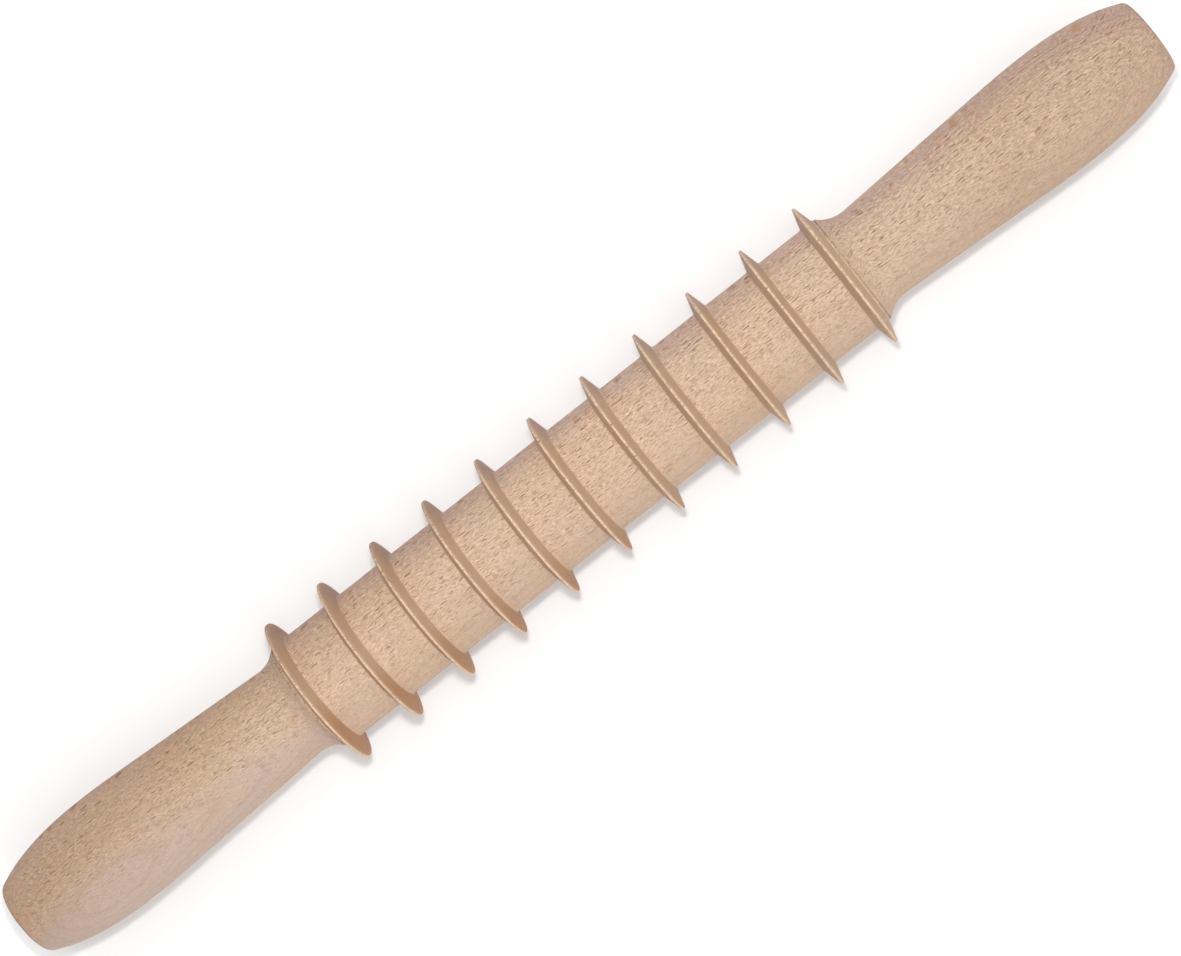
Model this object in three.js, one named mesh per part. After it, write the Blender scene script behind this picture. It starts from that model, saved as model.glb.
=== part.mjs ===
// A ribbed rolling pin for cutting sheets of pasta into strips, turned from one length of beech.
//
// Millimetres. The pin lies along X with +Z up, and the origin is on its axis, halfway along it.
// Its turned features are separate solids that meet face to face: a barrel, the sharp rings
// round it, and a handle at each end. A profile point is (radius, distance along the axis).

import * as THREE from "three";

// The whole pin
const PIN_LENGTH = 320;

// The barrel and its cutting rings
const BARREL_RADIUS = 13.9;
const RING_COUNT = 11;
const RING_PITCH = 15;
const RING_RADIUS = 18.7;
const RING_ROOT_WIDTH = 3.2;
const RING_CREST_WIDTH = 0.6;

// A handle, with its lengths measured from the centre of the outermost ring
const COVE_RADIUS = 8;
const NECK_RADIUS = 11.4;
const NECK_AT = 8.1;
const BELLY_RADIUS = 13.85;
const BELLY_AT = 59;
const TAPER_SLOPE = 0.052;
const TAPER_END_AT = 49;
const BELLY_LEAD_IN = 8;
const BELLY_LEAD_OUT = 12;
const RIM_RADIUS = 9;
const RIM_SLOPE = 0.5;
const RIM_LEAD_IN = 6.2;
const RIM_ROUNDING = 1;

// How finely the round surfaces are cut into flats
const SIDES = 32;
const COVE_STEPS = 7;
const TAPER_STEPS = 6;
const BELLY_STEPS = 8;
const ROUNDING_STEPS = 2;

// Bare, finely sanded beech
const BARREL_COLOUR = 0xd3b193;
const RING_COLOUR = 0xb98f68;
const HANDLE_COLOUR = 0xcdab8e;
const SANDED_ROUGHNESS = 0.62;

const OUTER_RING_AT = ((RING_COUNT - 1) / 2) * RING_PITCH;
const COVE_REACH = Math.sqrt(COVE_RADIUS ** 2 - (COVE_RADIUS - BARREL_RADIUS + NECK_RADIUS) ** 2);
const BARREL_END_AT = OUTER_RING_AT + NECK_AT - COVE_REACH;

function beech(colour) {
  return new THREE.MeshStandardMaterial({ color: colour, roughness: SANDED_ROUGHNESS, metalness: 0 });
}

// Turns a profile about X. The flats touch the true round surface, one of them lies underneath,
// and the corners between them stand just outside it.
function turned(name, profile, colour) {
  const toCorners = 1 / Math.cos(Math.PI / SIDES);
  const points = profile.map((point) => new THREE.Vector2(point.x * toCorners, point.y));
  const mesh = new THREE.Mesh(new THREE.LatheGeometry(points, SIDES, Math.PI / SIDES), beech(colour));
  mesh.name = name;
  mesh.rotation.z = -Math.PI / 2;
  return mesh;
}

function makeBarrel() {
  const profile = [
    new THREE.Vector2(0, -BARREL_END_AT),
    new THREE.Vector2(BARREL_RADIUS, -BARREL_END_AT),
    new THREE.Vector2(BARREL_RADIUS, BARREL_END_AT),
    new THREE.Vector2(0, BARREL_END_AT),
  ];
  return turned("barrel", profile, BARREL_COLOUR);
}

// One ring: a V-shaped ridge round the barrel, with a narrow blunt crest.
function makeRing(index) {
  const halfRoot = RING_ROOT_WIDTH / 2;
  const halfCrest = RING_CREST_WIDTH / 2;
  const profile = [
    new THREE.Vector2(BARREL_RADIUS, -halfRoot),
    new THREE.Vector2(RING_RADIUS, -halfCrest),
    new THREE.Vector2(RING_RADIUS, halfCrest),
    new THREE.Vector2(BARREL_RADIUS, halfRoot),
    new THREE.Vector2(BARREL_RADIUS, -halfRoot),
  ];
  const ring = turned(`ring_${String(index + 1).padStart(2, "0")}`, profile, RING_COLOUR);
  ring.position.x = index * RING_PITCH - OUTER_RING_AT;
  return ring;
}

// The concave cove beside the outermost ring. It runs just past the neck, to where its slope
// equals the taper's.
function covePoints() {
  const neckAt = OUTER_RING_AT + NECK_AT;
  const firstAngle = -Math.asin(COVE_REACH / COVE_RADIUS);
  const lastAngle = Math.atan(TAPER_SLOPE);
  return Array.from({ length: COVE_STEPS + 1 }, (_, step) => {
    const angle = THREE.MathUtils.lerp(firstAngle, lastAngle, step / COVE_STEPS);
    const radius = NECK_RADIUS + COVE_RADIUS * (1 - Math.cos(angle));
    return new THREE.Vector2(radius, neckAt + COVE_RADIUS * Math.sin(angle));
  });
}

// The grip: a long, nearly straight taper that swells from the neck to the belly, and then a
// fuller curve from the belly down to the rim.
function gripPoints(from) {
  const taperEnd = OUTER_RING_AT + TAPER_END_AT;
  const belly = new THREE.Vector2(BELLY_RADIUS, OUTER_RING_AT + BELLY_AT);
  const rim = new THREE.Vector2(RIM_RADIUS, PIN_LENGTH / 2);
  const taper = new THREE.CubicBezierCurve(
    from,
    new THREE.Vector2(from.x + TAPER_SLOPE * (taperEnd - from.y), taperEnd),
    new THREE.Vector2(belly.x, belly.y - BELLY_LEAD_IN),
    belly,
  );
  const fall = new THREE.CubicBezierCurve(
    belly,
    new THREE.Vector2(belly.x, belly.y + BELLY_LEAD_OUT),
    new THREE.Vector2(rim.x + RIM_SLOPE * RIM_LEAD_IN, rim.y - RIM_LEAD_IN),
    rim,
  );
  return [...taper.getPoints(TAPER_STEPS).slice(1), ...fall.getPoints(BELLY_STEPS).slice(1)];
}

// The flat end of the handle, with its rim softened.
function endPoints(lastOnGrip) {
  const face = PIN_LENGTH / 2;
  const rounding = new THREE.QuadraticBezierCurve(
    new THREE.Vector2(RIM_RADIUS + RIM_SLOPE * RIM_ROUNDING, face - RIM_ROUNDING),
    lastOnGrip,
    new THREE.Vector2(RIM_RADIUS - RIM_ROUNDING, face),
  );
  return [...rounding.getPoints(ROUNDING_STEPS), new THREE.Vector2(0, face)];
}

function makeHandle(name) {
  const cove = covePoints();
  const grip = gripPoints(cove.at(-1));
  const profile = [
    new THREE.Vector2(0, BARREL_END_AT),
    ...cove,
    ...grip.slice(0, -1),
    ...endPoints(grip.at(-1)),
  ];
  return turned(name, profile, HANDLE_COLOUR);
}

const pin = new THREE.Group();
pin.add(makeBarrel());
for (let index = 0; index < RING_COUNT; index += 1) {
  pin.add(makeRing(index));
}
pin.add(makeHandle("handle_right"));

const leftEnd = new THREE.Group();
leftEnd.rotation.z = Math.PI;
leftEnd.add(makeHandle("handle_left"));
pin.add(leftEnd);

export default pin;
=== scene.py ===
"""The finished look of a ribbed rolling pin, turned from one length of beech and built round its CAD part.

The pin lies along X on a pale floor, with +Z up. Meshes and places are in metres. The wood is a solid
texture in millimetres, so grain, rays and growth rings run unbroken from one turned feature to the next.
"""

import math

import bpy
from mathutils import Matrix, Vector, noise


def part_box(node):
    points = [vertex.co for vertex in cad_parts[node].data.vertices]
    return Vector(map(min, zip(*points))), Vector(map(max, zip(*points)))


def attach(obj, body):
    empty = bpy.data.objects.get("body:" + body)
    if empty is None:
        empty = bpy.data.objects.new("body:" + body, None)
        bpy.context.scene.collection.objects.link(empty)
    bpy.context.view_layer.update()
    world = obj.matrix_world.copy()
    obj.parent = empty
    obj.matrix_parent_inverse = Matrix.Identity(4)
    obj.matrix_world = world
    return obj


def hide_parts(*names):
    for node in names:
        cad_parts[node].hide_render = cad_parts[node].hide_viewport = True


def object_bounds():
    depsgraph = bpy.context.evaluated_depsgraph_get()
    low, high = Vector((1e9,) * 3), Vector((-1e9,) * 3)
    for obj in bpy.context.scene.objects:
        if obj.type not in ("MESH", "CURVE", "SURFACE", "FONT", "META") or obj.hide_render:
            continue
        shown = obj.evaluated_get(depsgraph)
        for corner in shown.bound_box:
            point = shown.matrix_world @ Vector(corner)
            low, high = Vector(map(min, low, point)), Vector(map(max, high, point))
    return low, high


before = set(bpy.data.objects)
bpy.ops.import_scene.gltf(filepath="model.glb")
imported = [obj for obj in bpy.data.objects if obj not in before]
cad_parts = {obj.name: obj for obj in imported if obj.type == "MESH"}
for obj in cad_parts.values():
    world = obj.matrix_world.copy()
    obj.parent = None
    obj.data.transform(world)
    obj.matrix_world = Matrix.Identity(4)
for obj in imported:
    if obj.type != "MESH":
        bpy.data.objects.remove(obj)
CAD_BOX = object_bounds()

MM = 0.001
MICROMETRE_DIGITS = 6

# How finely the pieces are turned
SIDES = 192
ROW_SPACING = 0.9 * MM
SMOOTH_STEPS = 7
ROOT_STEPS = 4
FLANK_STEPS = 6
CREST_STEPS = 3
SHARP_ANGLE = math.radians(32)

# What the turner's tools leave behind, and the small bruises in the rings' crests. A nick is deepest at the
# crest and gone NICK_REACH below it, and a higher sparseness leaves fewer of them
RING_SINK = 0.15 * MM
ROOT_FILLET = 0.35 * MM
CREST_ROUNDING = 0.11 * MM
NOTCH_DEPTH = 0.28 * MM
NOTCH_HALF_WIDTH = 0.34 * MM
WANDER_DEPTH = 0.05 * MM
WANDER_LENGTH = 26 * MM
NICK_DEPTH = 0.08 * MM
NICK_LENGTH = 2.6 * MM
NICK_REACH = 1.0 * MM
NICK_SPARSENESS = 1.5

# Where the pin's blank lay in its log, in mm. The bearing is the way out from the pith, from +Z toward +Y
PITH_DISTANCE = 74.0
YEAR = 1.3
BARK_BEARING = math.radians(-27)
GRAIN_TILT = math.radians(1.3)

# How the log's grain, its years and the colour zones' borders waver: the length of the waves and their
# reach, in mm, but in years for YEARS_WAVER_BY
GRAIN_WAVERS, GRAIN_WAVERS_BY = (70, 30, 30), (3.0, 3.0, 3.0)
YEARS_WAVER, YEARS_WAVER_BY = (80, 40, 5), 2.2
BORDERS_WAVER_BY = 5.0

# The wood's patterns: how large they are along the grain, round the growth rings and out from the pith,
# in mm, how much they lighten the wood, and how far they stand out of it, in mm
ZONES = (36, 16, 16)
FIBRES, FIBRES_LIGHTEN = (1.3, 0.38, 0.38), 0.22
GRAIN, GRAIN_LIGHTENS, GRAIN_RISES = (0.75, 0.28, 0.28), 0.75, 0.25
MOTTLE, MOTTLE_LIGHTENS, MOTTLE_RISES = (2.4, 0.9, 1.2), 0.10, 0.10
BIG_RAYS, BIG_RAYS_RISE = {"spacing": (3.2, 0.95, 3.0), "length": 2.6, "thickness": 0.22}, -0.17
SMALL_RAYS, SMALL_RAYS_RISE = {"spacing": (1.7, 0.5, 2.0), "length": 1.4, "thickness": 0.16}, -0.12
RAY_FACES = {"spacing": (4.6, 2.2, 2.4), "length": 2.8, "thickness": 1.0}
BESIDE_RAYS_LIGHTENS = 0.12
# How much paler the rings are painted toward their crests, a painted highlight
CREST_PAINTED_HIGHLIGHT = 0.2

# How large the fibres' small waves round the rays are, and how far they reach, both in mm
WEAVE, WEAVE_REACH = (0.9, 0.5, 0.5), (1.1, 0.35, 1.5)

# The middle of what a noise gives
NOISE_MIDDLE = 0.5

# The wood's colours, as sRGB hex digits, and the tints that multiply them: painted shade at the pin's ends,
# end grain's own browner tint, and painted shade on the left half's lower flanks
MIDDLE_YEARS = "c4a890"
# The pith years' own grey, made darker to paint shade on the +Y side as well
PITH_YEARS_WITH_PAINTED_SHADE = "b69a8b"
BARK_YEARS = "bda596"
YELLOW_PATCH = "c1a282"
LATEWOOD = "8d6b4e"
SMALL_RAY = "7c5433"
BIG_RAY = "7e5028"
RAY_FACE = "a87c50"
# Painted shade toward the left end and the +Y side, and toward the right end
LEFT_END_PAINTED_SHADE = (0.76, 0.70, 0.64)
RIGHT_END_PAINTED_SHADE = (0.91, 0.88, 0.85)
END_GRAIN_TINT = (1.0, 0.95, 0.89)
# Painted shade on the left half's lower flanks, darker and warmer, as if lit by warm bounced light
PAINTED_FLANK_SHADE_TINT = (0.82, 0.62, 0.45)

# How strongly those colours show, as shares. The latewood's grows by LATEWOOD_SHARE_INWARD toward the pith,
# and the ray faces' grows from the first to the second toward +X
YELLOW_SHARE = 0.35
LATEWOOD_SHARE, LATEWOOD_SHARE_INWARD = 0.12, 0.25
SMALL_RAY_SHARE = 0.32
BIG_RAY_SHARE = 0.52
RAY_FACE_SHARES = (0.15, 0.9)

# How lightness and sheen differ: each piece's shade, how bold the patterns are on the pin's weak and bold
# sides, on end grain and in the years nearest the bark, and the roughness in the mottle's lows and highs
BARREL_SHADE = 1.0
RING_SHADE = 0.98
HANDLE_SHADE = 0.98
BOLDNESS = (0.75, 1.5)
END_GRAIN_BOLDNESS = 0.25
BARK_YEARS_BOLDNESS = 0.65
ROUGHNESS = (0.55, 0.7)
IOR = 1.45

# The ways, from the pin's middle, in which the wood grows pinker, in which painted shade darkens it toward
# the left end and +Y, and in which painted shade darkens and warms the rings' lower flanks; in which the
# rays' broad faces show, and in which the patterns grow bolder
TO_BARK_YEARS = (-0.03, -0.77, 0.64)
# Painted shade darkens the wood this way, toward the left end and +Y
TO_LEFT_END_PAINTED_SHADE = (-0.05, 0.35, 0.0)
TO_PAINTED_FLANK_SHADE = (-0.12, -1.0, 0.0)
TO_RAY_FACES = (0.0, 0.95, 0.3)
TO_BOLD = (0.03, 1.0, 0.0)

# Where each of these sets in, from none of it to all of it, in mm along its way above, times that way's
# own length
BARK_YEARS_FROM = (12.0, 15.0)
# Where the painted shade toward the left end and +Y sets in
LEFT_END_PAINTED_SHADE_FROM = (2.0, 10.0)
# Where the flanks' painted shade sets in
PAINTED_FLANK_SHADE_FROM = (7, 20)
BOLD_FROM = (-14, 14)

# The same, in mm: out from the pin's middle, away from the pith; along the pin; and out from a ring's crest
PITH_YEARS_FROM = (8.0, 0.0)
# Where the painted shade toward the right end sets in
RIGHT_END_PAINTED_SHADE_FROM = (75, 130)
RAY_FACES_GROW_ALONG = (-60, 90)
# Where the crest's painted highlight sets in
CREST_PAINTED_HIGHLIGHT_FROM = (-1.1, -0.2)

# The same for what isn't a distance: part of a year, part of a ray's half length, a noise's or a ray's own
# value, and how squarely the surface faces a way
LATEWOOD_FROM, LATEWOOD_UNTIL = (0.5, 0.93), (1.0, 0.95)
RAY_FROM, BESIDE_RAY_FROM = (1.0, 0.5), (2.6, 1.2)
RAY_STRENGTH_FROM = (0.1, 1.0)
YELLOW_FROM = (0.5, 0.7)
MOTTLE_FROM = (0.2, 0.8)
END_GRAIN_FROM = (0.5, 0.95)
RAY_FACES_FROM = (0.88, 0.96)

# The camera, in the photographed view: over the pin, leaning to +X, with the pin rising to the right
LENS = 106.6
SENSOR = 36.0
CAMERA_DISTANCE = 0.780
CAMERA_LEAN = math.radians(4.67)
CAMERA_ROLL = math.radians(38.22)
CAMERA_TARGET = Vector((2.79, -0.45, 0.0)) * MM

# The light: a dim white sky, a bright band of it that arches across the pin, and a small lamp overhead.
# The band's middle leans to +X, and its width is a share of the sky's radius
SKY_LEVEL = 0.54
BAND_LEVEL = 4.0
BAND_LEAN = 0.12
BAND_HALF_WIDTH = 0.12
BAND_EDGE = 0.05
KEY_PLACE = Vector((0.08, 0.055, 0.66))
KEY_SIZE = 0.045
KEY_POWER = 1.75

# The floor
FLOOR_REACH = 9.0
FLOOR_WHITE = 0.93
FLOOR_ROUGHNESS = 0.9


def linear(hex_code):
    """A colour written as sRGB hex digits, as the linear values that shaders take, by sRGB's own formula."""
    channels = [int(hex_code[i : i + 2], 16) / 255 for i in (0, 2, 4)]
    return tuple(c / 12.92 if c <= 0.04045 else ((c + 0.055) / 1.055) ** 2.4 for c in channels)


# ---------------------------------------------------------------- profiles


def cad_profile(node):
    """The rims of a turned CAD node as (distance along the axis, true radius), in order along X.

    The CAD's flats touch the true round surface, and its corners stand just outside it."""
    rims = {}
    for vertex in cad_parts[node].data.vertices:
        along = round(vertex.co.x, MICROMETRE_DIGITS)
        rims[along] = max(rims.get(along, 0.0), math.hypot(vertex.co.y, vertex.co.z))
    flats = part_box(node)[1].z / max(rims.values())
    return [(along, rims[along] * flats) for along in sorted(rims)]


def smooth_through(points, steps):
    """A smooth curve through every point, a Catmull-Rom spline with this many steps between two points."""
    ends = [points[0], *points, points[-1]]
    curve = []
    for before, start, end, after in zip(ends, ends[1:], ends[2:], ends[3:]):
        for step in range(steps):
            t = step / steps
            curve.append(tuple(spline_value(b, s, e, a, t) for b, s, e, a in zip(before, start, end, after)))
    return [*curve, points[-1]]


def spline_value(before, start, end, after, t):
    """A Catmull-Rom spline's value at t, from 0 at start to 1 at end."""
    slope_in = (end - before) / 2
    slope_out = (after - start) / 2
    cubic = 2 * start - 2 * end + slope_in + slope_out
    square = -3 * start + 3 * end - 2 * slope_in - slope_out
    return ((cubic * t + square) * t + slope_in) * t + start


def evenly(start, end, spacing):
    """Numbers from start to end, about spacing apart."""
    count = max(1, round(abs(end - start) / spacing))
    return [start + (end - start) * i / count for i in range(count + 1)]


def barrel_profile(node, outer_root):
    """A plain cylinder, notched just outside each outermost ring, where the parting tool turned in."""
    (low, radius), (high, _) = cad_profile(node)
    notch_at = outer_root + NOTCH_HALF_WIDTH
    notch = [outer_root, notch_at, notch_at + NOTCH_HALF_WIDTH]
    middle = evenly(-outer_root, outer_root, ROW_SPACING)
    profile = []
    for along in sorted({low, high, *middle, *notch, *(-x for x in notch)}):
        from_notch = abs(abs(along) - notch_at) / NOTCH_HALF_WIDTH
        profile.append((along, radius - NOTCH_DEPTH * max(0.0, 1 - from_notch)))
    return profile


def bend(start, corner, end, steps):
    """A curve that leaves start toward corner and arrives at end from corner."""
    curve = []
    for step in range(steps + 1):
        t = step / steps
        weights = ((1 - t) ** 2, 2 * t * (1 - t), t**2)
        curve.append(tuple(sum(w * v for w, v in zip(weights, values)) for values in zip(start, corner, end)))
    return curve


def ring_profile(node):
    """A V-shaped ridge with straight flanks, a narrow blunt crest, and roots that flow into the barrel."""
    (root_low, root), (crest_low, crest), (crest_high, _), (root_high, _) = cad_profile(node)
    middle = (root_low + root_high) / 2
    half_root = (root_high - root_low) / 2
    half_crest = (crest_high - crest_low) / 2
    lean = (half_root - half_crest) / (crest - root)
    fillet_top = (half_root - lean * ROOT_FILLET, root + ROOT_FILLET)
    flank_top = (half_crest + lean * CREST_ROUNDING, crest - CREST_ROUNDING)
    flank = [
        tuple(low + (high - low) * i / FLANK_STEPS for low, high in zip(fillet_top, flank_top))
        for i in range(1, FLANK_STEPS)
    ]
    half = [
        (half_root + ROOT_FILLET, root - RING_SINK),
        *bend((half_root + ROOT_FILLET, root), (half_root, root), fillet_top, ROOT_STEPS),
        *flank,
        *bend(flank_top, (half_crest, crest), (half_crest - CREST_ROUNDING, crest), CREST_STEPS),
    ]
    left = [(middle - x, radius) for x, radius in half]
    right = [(middle + x, radius) for x, radius in reversed(half)]
    return [*left, *right]


def handle_profile(node):
    """The cove, the long swelling grip and the softened rim, smooth through the CAD's rims."""
    return smooth_through(cad_profile(node), SMOOTH_STEPS)


# ---------------------------------------------------------------- turned meshes


def wander(along, around, radius):
    """How far hand sanding and uneven shrinkage take a surface inside its true radius."""
    place = Vector((along, radius * math.cos(around), radius * math.sin(around))) / WANDER_LENGTH
    return WANDER_DEPTH * (1 + noise.noise(place)) / 2


def nick(along, around, radius, crest):
    """How deep a ring's small bruises are at this radius."""
    place = Vector((along, radius * math.cos(around), radius * math.sin(around))) / NICK_LENGTH
    at_crest = NICK_DEPTH * max(0.0, noise.noise(place)) ** NICK_SPARSENESS
    return at_crest * max(0.0, 1 - (crest - radius) / NICK_REACH)


def turned_vertices(profile, crest):
    """A circle of vertices for each profile point, a little uneven, and nicked near a ring's crest."""
    vertices = []
    for along, radius in profile:
        for side in range(SIDES):
            around = 2 * math.pi * side / SIDES
            true = radius - wander(along, around, radius)
            if crest:
                true -= nick(along, around, radius, crest)
            vertices.append((along, true * math.cos(around), true * math.sin(around)))
    return vertices


def turned_faces(rows, closed):
    """The faces between neighbouring circles, and on a closed profile also from the last to the first."""
    faces = []
    for row in range(rows if closed else rows - 1):
        this, following = row * SIDES, (row + 1) % rows * SIDES
        for side in range(SIDES):
            turn = (side + 1) % SIDES
            faces.append((this + side, this + turn, following + turn, following + side))
    return faces


def add_caps(vertices, faces, profile):
    """Closes an open profile with a flat fan of faces at each end."""
    for row, first in ((0, True), (len(profile) - 1, False)):
        centre = len(vertices)
        vertices.append((profile[row][0], 0.0, 0.0))
        for side in range(SIDES):
            edge = (row * SIDES + side, row * SIDES + (side + 1) % SIDES)
            faces.append((centre, *reversed(edge)) if first else (centre, *edge))


def turned(name, profile, material, closed=False, crest=None):
    """A piece turned about X from (distance along the axis, radius) points. A closed profile makes a ring,
    and an open one is capped flat at both ends."""
    vertices = turned_vertices(profile, crest)
    faces = turned_faces(len(profile), closed)
    if not closed:
        add_caps(vertices, faces, profile)
    mesh = bpy.data.meshes.new(name)
    mesh.from_pydata(vertices, [], faces)
    mesh.polygons.foreach_set("use_smooth", [True] * len(mesh.polygons))
    mesh.set_sharp_from_angle(angle=SHARP_ANGLE)
    mesh.materials.append(material)
    piece = bpy.data.objects.new(name, mesh)
    bpy.context.scene.collection.objects.link(piece)
    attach(piece, "root")
    return piece


# ---------------------------------------------------------------- beech


class Shading:
    """Adds nodes to a material or to the sky, so that each texture below, where it is called s, reads like
    a formula. A socket, a number or a tuple can stand wherever a value is asked for."""

    def __init__(self, tree):
        self.tree = tree
        self.tree.nodes.clear()

    def node(self, kind, **settings):
        """A new node of this kind, with these settings."""
        made = self.tree.nodes.new(kind)
        for key, value in settings.items():
            setattr(made, key, value)
        return made

    def feed(self, socket, value):
        """Links the socket to the value, or sets it."""
        if isinstance(value, bpy.types.NodeSocket):
            self.tree.links.new(value, socket)
        else:
            socket.default_value = value

    def math(self, operation, *values):
        """One step of arithmetic on numbers."""
        made = self.node("ShaderNodeMath", operation=operation)
        for socket, value in zip(made.inputs, values):
            self.feed(socket, value)
        return made.outputs[0]

    def vector(self, operation, *values):
        """One step of arithmetic on vectors, which gives a number for a length or a dot product."""
        made = self.node("ShaderNodeVectorMath", operation=operation)
        for socket, value in zip(made.inputs, values):
            self.feed(socket, value)
        return made.outputs["Value" if operation in ("LENGTH", "DOT_PRODUCT") else "Vector"]

    def scale(self, vector, by):
        """The vector times a number."""
        made = self.node("ShaderNodeVectorMath", operation="SCALE")
        self.feed(made.inputs[0], vector)
        self.feed(made.inputs["Scale"], by)
        return made.outputs["Vector"]

    def split(self, vector):
        """The vector's three parts."""
        made = self.node("ShaderNodeSeparateXYZ")
        self.feed(made.inputs[0], vector)
        return made.outputs

    def join(self, x, y, z):
        """The vector with these three parts."""
        made = self.node("ShaderNodeCombineXYZ")
        for socket, value in zip(made.inputs, (x, y, z)):
            self.feed(socket, value)
        return made.outputs[0]

    def step(self, value, low, high, smooth=True, to=(0.0, 1.0)):
        """to[0] below low, to[1] above high, and between them in between. High may be the smaller."""
        made = self.node("ShaderNodeMapRange", interpolation_type="SMOOTHSTEP" if smooth else "LINEAR")
        for socket, part in zip(made.inputs, (value, low, high, *to)):
            self.feed(socket, part)
        return made.outputs[0]

    def noise(self, vector, size, detail=2.0):
        """Noise whose lumps are about size, three lengths in the vector's own units."""
        made = self.node("ShaderNodeTexNoise", noise_dimensions="3D")
        self.feed(made.inputs["Vector"], self.vector("DIVIDE", vector, size))
        self.feed(made.inputs["Scale"], 1.0)
        self.feed(made.inputs["Detail"], detail)
        return made.outputs

    def drift(self, vector, size, detail=2.0):
        """Three noises about zero, whose lumps are about size."""
        return self.vector("SUBTRACT", self.noise(vector, size, detail)["Color"], (NOISE_MIDDLE,) * 3)

    def mix(self, share, a, b, blend="MIX"):
        """The colour a with this share of the colour b mixed or, by another blend, worked into it."""
        made = self.node("ShaderNodeMix", data_type="RGBA", blend_type=blend)
        colours = [s for s in made.inputs if s.type == "RGBA"]
        self.feed(made.inputs[0], share)
        self.feed(colours[0], a if isinstance(a, bpy.types.NodeSocket) else (*a, 1.0))
        self.feed(colours[1], b if isinstance(b, bpy.types.NodeSocket) else (*b, 1.0))
        return next(s for s in made.outputs if s.type == "RGBA")

    def surface(self, colour, roughness, height):
        """Ends the texture in a surface whose bump heights are in mm."""
        bump = self.node("ShaderNodeBump")
        self.feed(bump.inputs["Height"], height)
        self.feed(bump.inputs["Distance"], MM)
        surface = self.node("ShaderNodeBsdfPrincipled")
        self.feed(surface.inputs["Base Color"], colour)
        self.feed(surface.inputs["Roughness"], roughness)
        self.feed(surface.inputs["IOR"], IOR)
        self.feed(surface.inputs["Normal"], bump.outputs[0])
        output = self.node("ShaderNodeOutputMaterial")
        self.feed(output.inputs["Surface"], surface.outputs[0])


def new_material(name):
    """An empty material, and the Shading that fills it."""
    material = bpy.data.materials.new(name)
    material.use_nodes = True
    return material, Shading(material.node_tree)


def log_place(s, mm):
    """The place in the log, in mm: along the grain, round the growth rings, and out from the pith."""
    wandered = s.vector("MULTIPLY_ADD", s.drift(mm, GRAIN_WAVERS, detail=1.0), GRAIN_WAVERS_BY, mm)
    turned_to_log = s.node("ShaderNodeMapping", vector_type="POINT")
    s.feed(turned_to_log.inputs["Vector"], wandered)
    s.feed(turned_to_log.inputs["Rotation"], (BARK_BEARING, GRAIN_TILT, 0.0))
    s.feed(turned_to_log.inputs["Location"], (0.0, 0.0, PITH_DISTANCE))
    along, across, out = s.split(turned_to_log.outputs[0])
    angle = s.math("ARCTAN2", across, out)
    from_pith = s.vector("LENGTH", s.join(0.0, across, out))
    return s.join(along, s.math("MULTIPLY", angle, PITH_DISTANCE), from_pith)


def growth_rings(s, log):
    """1 in the thin dark line of latewood that closes each year, 0 in the pale wood between them."""
    uneven = s.math("MULTIPLY", s.noise(log, YEARS_WAVER)[0], YEARS_WAVER_BY)
    years = s.math("ADD", s.math("DIVIDE", s.split(log)[2], YEAR), uneven)
    part = s.math("FRACT", years)
    return s.math("MULTIPLY", s.step(part, *LATEWOOD_FROM), s.step(part, *LATEWOOD_UNTIL))


def rays(s, log, spacing, length, thickness):
    """The wood's rays are thin upright ribbons. They show as short dark flecks where the surface cuts
    across them, and as ragged blotches where it runs along them. Gives their darkness, and the paleness
    of the fibres that bend round them."""
    cells = s.node("ShaderNodeTexVoronoi", feature="F1", distance="EUCLIDEAN")
    cell_place = s.vector("DIVIDE", log, spacing)
    s.feed(cells.inputs["Vector"], cell_place)
    s.feed(cells.inputs["Scale"], 1.0)
    offset = s.vector("MULTIPLY", s.vector("SUBTRACT", cell_place, cells.outputs["Position"]), spacing)
    reach = s.vector("LENGTH", s.vector("DIVIDE", offset, (length / 2, thickness / 2, spacing[2])))
    strength = s.step(s.split(cells.outputs["Color"])[0], *RAY_STRENGTH_FROM, smooth=False)
    dark = s.math("MULTIPLY", s.step(reach, *RAY_FROM), strength)
    near = s.math("MULTIPLY", s.step(reach, *BESIDE_RAY_FROM), strength)
    return dark, s.math("SUBTRACT", near, dark)


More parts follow.
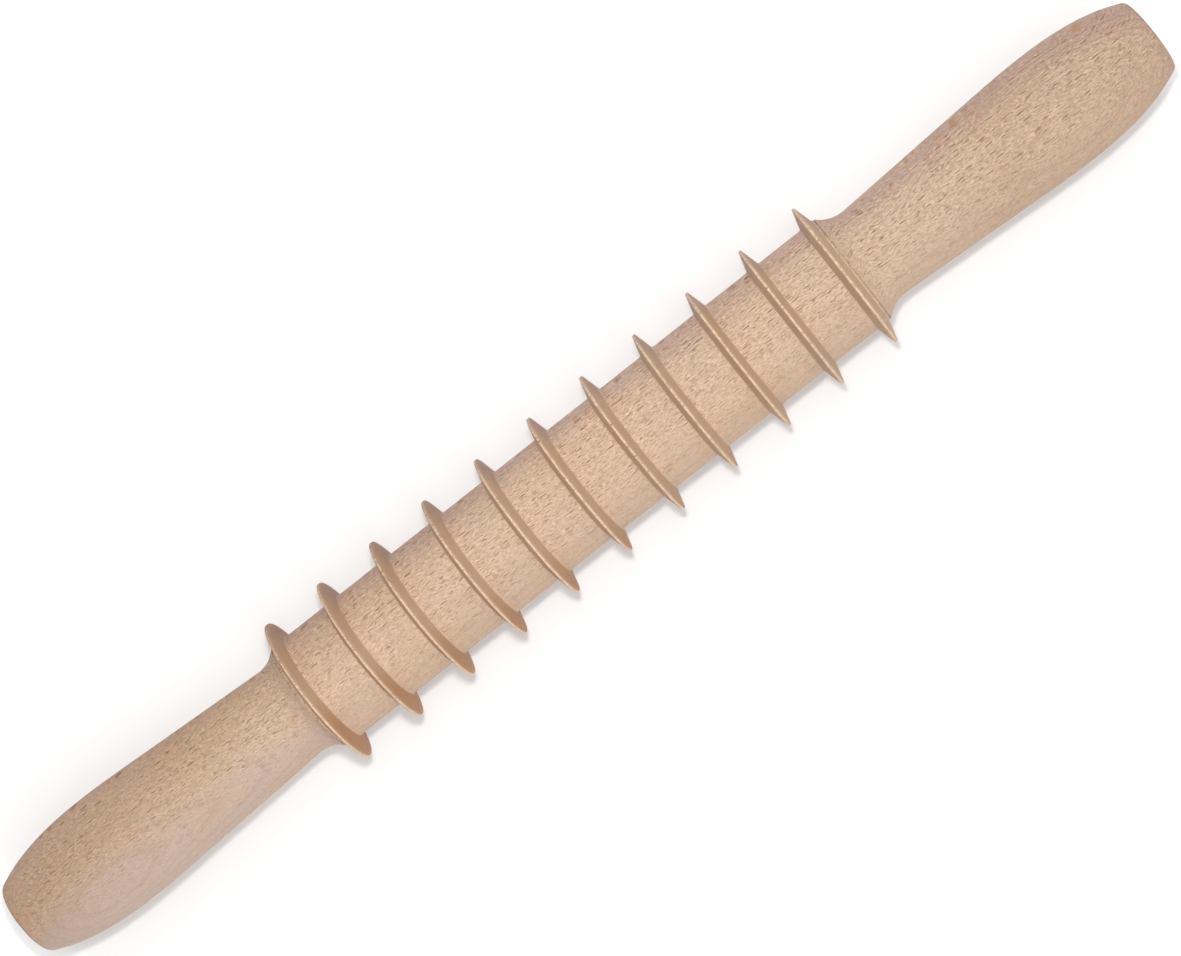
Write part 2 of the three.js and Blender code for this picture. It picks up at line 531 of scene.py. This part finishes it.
def clear_wood_with_painted_shade(s, mm, log, outer_years):
    """The colour of the wood between its rays: tan, greyer in the years nearest the pith, which face +Y and
    are made darker there to paint shade on that side as well, pinker in the ones nearest the bark, and
    browner in the latewood. Painted shade darkens it toward the left end and the +Y side, and a little toward
    the right end. Gives also the share of it that is of those outer years."""
    zones = s.noise(mm, ZONES)
    waver = s.math("MULTIPLY", s.math("SUBTRACT", zones[0], NOISE_MIDDLE), BORDERS_WAVER_BY)
    inward = s.math("ADD", s.math("SUBTRACT", s.split(log)[2], PITH_DISTANCE), waver)
    # The years nearest the pith face +Y: their own greyer colour, made darker to paint shade on that side as
    # well
    inner = s.step(inward, *PITH_YEARS_FROM)
    colour = s.mix(inner, linear(MIDDLE_YEARS), linear(PITH_YEARS_WITH_PAINTED_SHADE))
    outward = s.math("ADD", s.vector("DOT_PRODUCT", mm, TO_BARK_YEARS), waver)
    outer = s.math("MULTIPLY", s.step(outward, *BARK_YEARS_FROM), outer_years)
    colour = s.mix(outer, colour, linear(BARK_YEARS))
    yellow = s.step(s.split(zones["Color"])[1], *YELLOW_FROM, to=(0.0, YELLOW_SHARE))
    colour = s.mix(yellow, colour, linear(YELLOW_PATCH))
    late_share = s.math("MULTIPLY_ADD", inner, LATEWOOD_SHARE_INWARD, LATEWOOD_SHARE)
    late = s.math("MULTIPLY", growth_rings(s, log), late_share)
    colour = s.mix(late, colour, linear(LATEWOOD))
    # Painted shade: darker toward the left end and the +Y side, and a little darker toward the right end
    painted_left_shade = s.step(s.vector("DOT_PRODUCT", mm, TO_LEFT_END_PAINTED_SHADE), *LEFT_END_PAINTED_SHADE_FROM)
    colour = s.mix(painted_left_shade, colour, LEFT_END_PAINTED_SHADE, blend="MULTIPLY")
    painted_right_shade = s.step(s.split(mm)[0], *RIGHT_END_PAINTED_SHADE_FROM)
    return s.mix(painted_right_shade, colour, RIGHT_END_PAINTED_SHADE, blend="MULTIPLY"), outer


def boldness(s, mm, end_grain, outer):
    """The patterns are boldest toward +Y, where the surface runs along the rays, fainter in the years
    nearest the bark, and weakest on end grain."""
    by_side = s.step(s.vector("DOT_PRODUCT", mm, TO_BOLD), *BOLD_FROM, to=BOLDNESS)
    off_end_grain = s.math("MULTIPLY", by_side, s.step(end_grain, 0, 1, to=(1, END_GRAIN_BOLDNESS)))
    return s.math("MULTIPLY", off_end_grain, s.step(outer, 0, 1, to=(1, BARK_YEARS_BOLDNESS)))


def wood_patterns(s, mm, log):
    """The rays, the paleness beside them, the fibres, the grain and the mottle, and the place in the log
    that the rays are drawn at. Their edges are ragged, because the fibres weave round them."""
    woven = s.vector("MULTIPLY_ADD", s.drift(mm, WEAVE), WEAVE_REACH, log)
    big_rays, beside_big = rays(s, woven, **BIG_RAYS)
    small_rays, beside_small = rays(s, woven, **SMALL_RAYS)
    return {
        "woven": woven,
        "big_rays": big_rays,
        "small_rays": small_rays,
        "beside_rays": s.math("ADD", beside_big, beside_small),
        "fibres": s.noise(log, FIBRES, detail=0.0)[0],
        "grain": s.noise(log, GRAIN, detail=1.0)[0],
        "mottle": s.noise(log, MOTTLE)[0],
    }


def patterned_lightness(s, patterns, bold, shade):
    """The patterns lighten and darken the wood's shade."""
    lightness = s.math("MULTIPLY", patterns["beside_rays"], BESIDE_RAYS_LIGHTENS)
    for name, lightens in (
        ("fibres", FIBRES_LIGHTEN),
        ("grain", GRAIN_LIGHTENS),
        ("mottle", MOTTLE_LIGHTENS),
    ):
        from_middle = s.math("SUBTRACT", patterns[name], NOISE_MIDDLE)
        lightness = s.math("MULTIPLY_ADD", from_middle, lightens, lightness)
    return s.math("MULTIPLY_ADD", lightness, bold, shade)


def patterned_relief(s, patterns, bold):
    """The patterns stand out of the wood or sink into it, in mm."""
    relief = s.math("MULTIPLY", patterns["big_rays"], BIG_RAYS_RISE)
    for name, rises in (
        ("small_rays", SMALL_RAYS_RISE),
        ("grain", GRAIN_RISES),
        ("mottle", MOTTLE_RISES),
    ):
        relief = s.math("MULTIPLY_ADD", patterns[name], rises, relief)
    return s.math("MULTIPLY", relief, bold)


def ray_faces(s, mm, normal, woven):
    """Where the rays' broad faces show as ochre blotches, most of all toward +X."""
    along_rays = s.step(s.vector("DOT_PRODUCT", normal, TO_RAY_FACES), *RAY_FACES_FROM)
    share = s.step(s.split(mm)[0], *RAY_FACES_GROW_ALONG, to=RAY_FACE_SHARES)
    plainly = s.math("MULTIPLY", along_rays, share)
    return s.math("MULTIPLY", rays(s, woven, **RAY_FACES)[0], plainly)


def end_grain_and_flank_shade_tint(s, mm):
    """End grain is browner, and on the left half's lower flanks it is painted darker and warmer: painted
    shade with warm bounced light.
    """
    # Painted shade on the left half's lower (-Y) flanks
    flank_shade = s.step(s.vector("DOT_PRODUCT", mm, TO_PAINTED_FLANK_SHADE), *PAINTED_FLANK_SHADE_FROM)
    return s.mix(flank_shade, END_GRAIN_TINT, PAINTED_FLANK_SHADE_TINT)


def painted_crest_highlight(s, mm, crest):
    """How much paler a ring is painted toward its crest: a painted highlight."""
    from_axis = s.vector("LENGTH", s.vector("MULTIPLY", mm, (0.0, 1.0, 1.0)))
    from_crest = s.math("SUBTRACT", from_axis, crest / MM)
    return s.step(from_crest, *CREST_PAINTED_HIGHLIGHT_FROM, to=(0.0, CREST_PAINTED_HIGHLIGHT))


def beech(material_name, shade, crest=None, outer_years=0.0):
    """Bare, finely sanded beech. Shade scales its lightness, a ring is painted paler toward its crest as a
    painted highlight, and the share given as outer_years has the pinkish colour of the years nearest the
    bark."""
    material, s = new_material(material_name)
    coordinates = s.node("ShaderNodeTexCoord")
    normal = coordinates.outputs["Normal"]
    mm = s.scale(coordinates.outputs["Object"], 1 / MM)
    log = log_place(s, mm)
    end_grain = s.step(s.split(s.vector("ABSOLUTE", normal))[0], *END_GRAIN_FROM)
    colour, outer = clear_wood_with_painted_shade(s, mm, log, outer_years)
    bold = boldness(s, mm, end_grain, outer)
    patterns = wood_patterns(s, mm, log)

    # The rays are brown flecks, and ochre blotches where the surface runs along them, except on rings
    for name, share, brown in (
        ("small_rays", SMALL_RAY_SHARE, SMALL_RAY),
        ("big_rays", BIG_RAY_SHARE, BIG_RAY),
    ):
        flecks = s.math("MULTIPLY", patterns[name], bold)
        colour = s.mix(s.math("MULTIPLY", flecks, share), colour, linear(brown))
    if not crest:
        colour = s.mix(ray_faces(s, mm, normal, patterns["woven"]), colour, linear(RAY_FACE))
    # End grain's own browner tint, and painted shade on the left half's lower flanks
    colour = s.mix(end_grain, colour, end_grain_and_flank_shade_tint(s, mm), blend="MULTIPLY")

    lightness = patterned_lightness(s, patterns, bold, shade)
    # Painted highlight: a ring is painted paler toward its crest
    if crest:
        lightness = s.math("ADD", lightness, painted_crest_highlight(s, mm, crest))
    roughness = s.step(patterns["mottle"], *MOTTLE_FROM, to=ROUGHNESS)
    s.surface(s.scale(colour, lightness), roughness, patterned_relief(s, patterns, bold))
    return material


# ---------------------------------------------------------------- the pin


def make_pin():
    """Every turned feature, each in place of its CAD node."""
    rings = sorted(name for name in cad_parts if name.startswith("ring"))
    outer_root = max(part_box(name)[1].x for name in rings)
    crest = max(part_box(name)[1].z for name in rings)
    barrel_beech = beech("barrel_beech", BARREL_SHADE)
    ring_beech = beech("ring_beech", RING_SHADE, crest)
    handle_beech = beech("handle_beech", HANDLE_SHADE, outer_years=1.0)

    barrel = turned("barrel_wood", barrel_profile("barrel", outer_root), barrel_beech)
    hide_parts("barrel")
    for name in rings:
        ring = turned(f"{name}_wood", ring_profile(name), ring_beech, closed=True, crest=crest)
        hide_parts(name)
    for name in ("handle_left", "handle_right"):
        handle = turned(f"{name}_wood", handle_profile(name), handle_beech)
        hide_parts(name)


# ---------------------------------------------------------------- the studio


def make_floor():
    """A plain, near-white sheet under the pin."""
    material, s = new_material("studio_floor")
    s.surface((FLOOR_WHITE, FLOOR_WHITE, FLOOR_WHITE, 1.0), FLOOR_ROUGHNESS, 0.0)
    height = CAD_BOX[0].z
    mesh = bpy.data.meshes.new("studio_floor")
    corners = [(-1, -1), (1, -1), (1, 1), (-1, 1)]
    mesh.from_pydata([(x * FLOOR_REACH, y * FLOOR_REACH, height) for x, y in corners], [], [(0, 1, 2, 3)])
    mesh.materials.append(material)
    floor = bpy.data.objects.new("studio_floor", mesh)
    bpy.context.scene.collection.objects.link(floor)


def make_sky():
    """White light from all round, with the brighter band across it."""
    world = bpy.data.worlds.new("studio")
    world.use_nodes = True
    s = Shading(world.node_tree)
    toward_x = s.split(s.node("ShaderNodeTexCoord").outputs["Generated"])[0]
    from_middle = s.math("ABSOLUTE", s.math("SUBTRACT", toward_x, BAND_LEAN))
    band = s.step(from_middle, BAND_HALF_WIDTH + BAND_EDGE, BAND_HALF_WIDTH, to=(SKY_LEVEL, BAND_LEVEL))
    background = s.node("ShaderNodeBackground")
    s.feed(background.inputs["Strength"], band)
    output = s.node("ShaderNodeOutputWorld")
    s.feed(output.inputs["Surface"], background.outputs[0])
    bpy.context.scene.world = world


def make_key():
    """A small round lamp over the pin, beside the camera and toward the upper left of the picture."""
    lamp = bpy.data.lights.new("key", "AREA")
    lamp.shape = "DISK"
    lamp.size = KEY_SIZE
    lamp.energy = KEY_POWER
    holder = bpy.data.objects.new("key", lamp)
    holder.location = KEY_PLACE
    holder.rotation_euler = KEY_PLACE.to_track_quat("Z", "Y").to_euler()
    holder.visible_camera = False
    bpy.context.scene.collection.objects.link(holder)


def make_camera():
    """The camera over the pin. The pin's axis is rolled to rise toward the right of the picture."""
    back = Vector((math.sin(CAMERA_LEAN), 0.0, math.cos(CAMERA_LEAN)))
    across_pin = Vector((0.0, 1.0, 0.0))
    along_pin = across_pin.cross(back)
    right = math.cos(CAMERA_ROLL) * along_pin - math.sin(CAMERA_ROLL) * across_pin
    up = math.sin(CAMERA_ROLL) * along_pin + math.cos(CAMERA_ROLL) * across_pin
    data = bpy.data.cameras.new("camera")
    data.lens = LENS
    data.sensor_width = SENSOR
    camera = bpy.data.objects.new("camera", data)
    place = CAMERA_TARGET + back * CAMERA_DISTANCE
    camera.matrix_world = Matrix.Translation(place) @ Matrix((right, up, back)).transposed().to_4x4()
    bpy.context.scene.collection.objects.link(camera)
    bpy.context.scene.camera = camera


make_pin()
make_floor()
make_sky()
make_key()
make_camera()
bpy.context.scene.view_settings.view_transform = "Standard"
